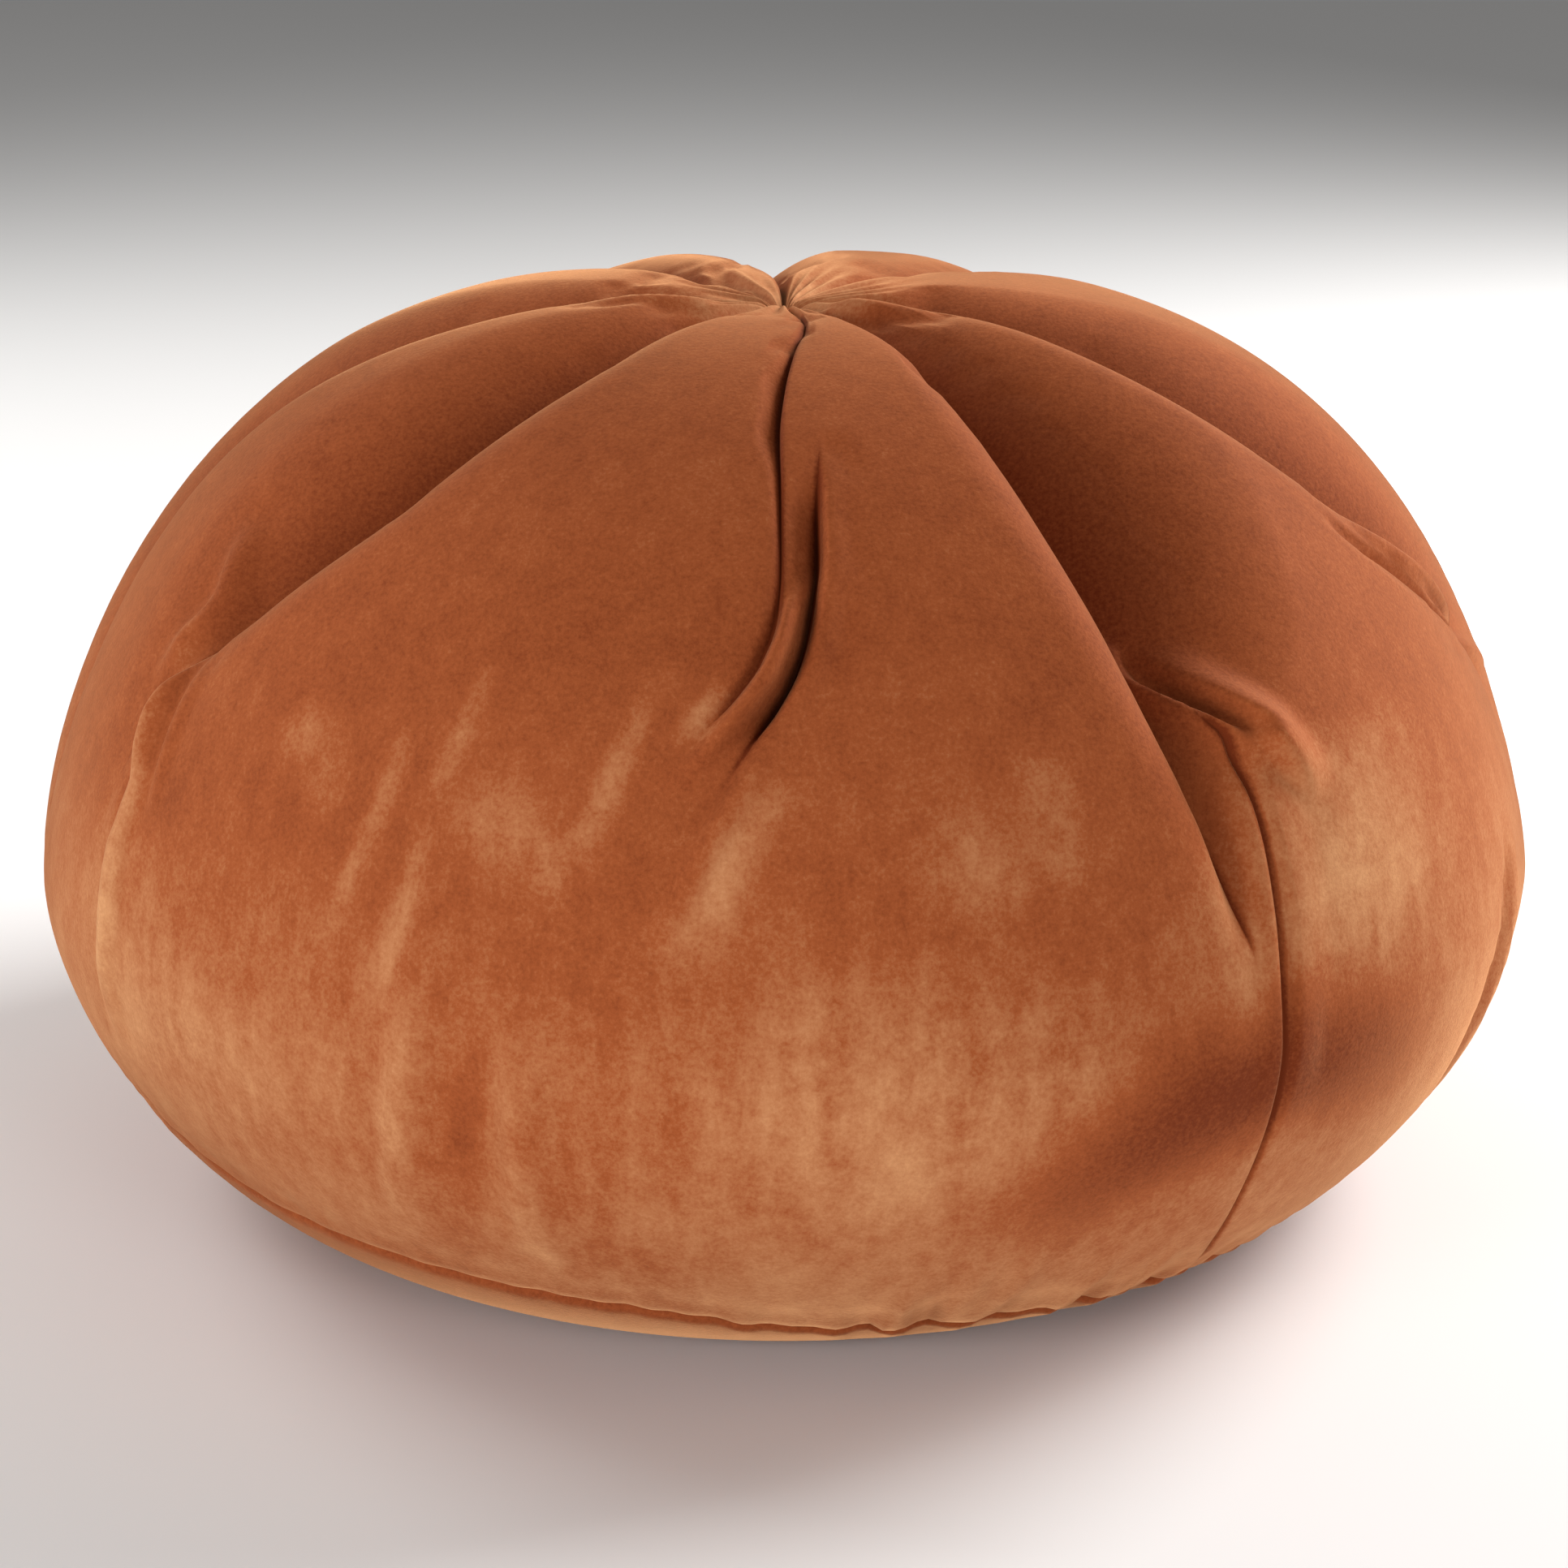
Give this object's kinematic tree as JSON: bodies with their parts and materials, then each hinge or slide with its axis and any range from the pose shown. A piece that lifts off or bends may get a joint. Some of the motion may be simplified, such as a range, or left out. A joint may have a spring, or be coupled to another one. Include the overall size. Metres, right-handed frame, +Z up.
{
  "type": "dumpling cushion",
  "caption": "Round velvet floor cushion shaped like a dumpling: a domed body whose side is laid in deep pleats gathered at the top, on a flat round base panel.",
  "frame": {"origin": "middle of the cushion's footprint, on the floor that it rests on", "axes": "+Z up, -Y towards the front with the narrow middle pleat, +X to the right seen from the front"},
  "size_m": [0.4496, 0.4498, 0.2633],
  "materials": {
    "body_velvet": "rust velvet, short brushed pile",
    "base_velvet": "rust velvet, short brushed pile"
  },
  "bodies": {
    "root": {"pleated_body": "body_velvet", "base_panel": "base_velvet"}
  },
  "joints": []
}
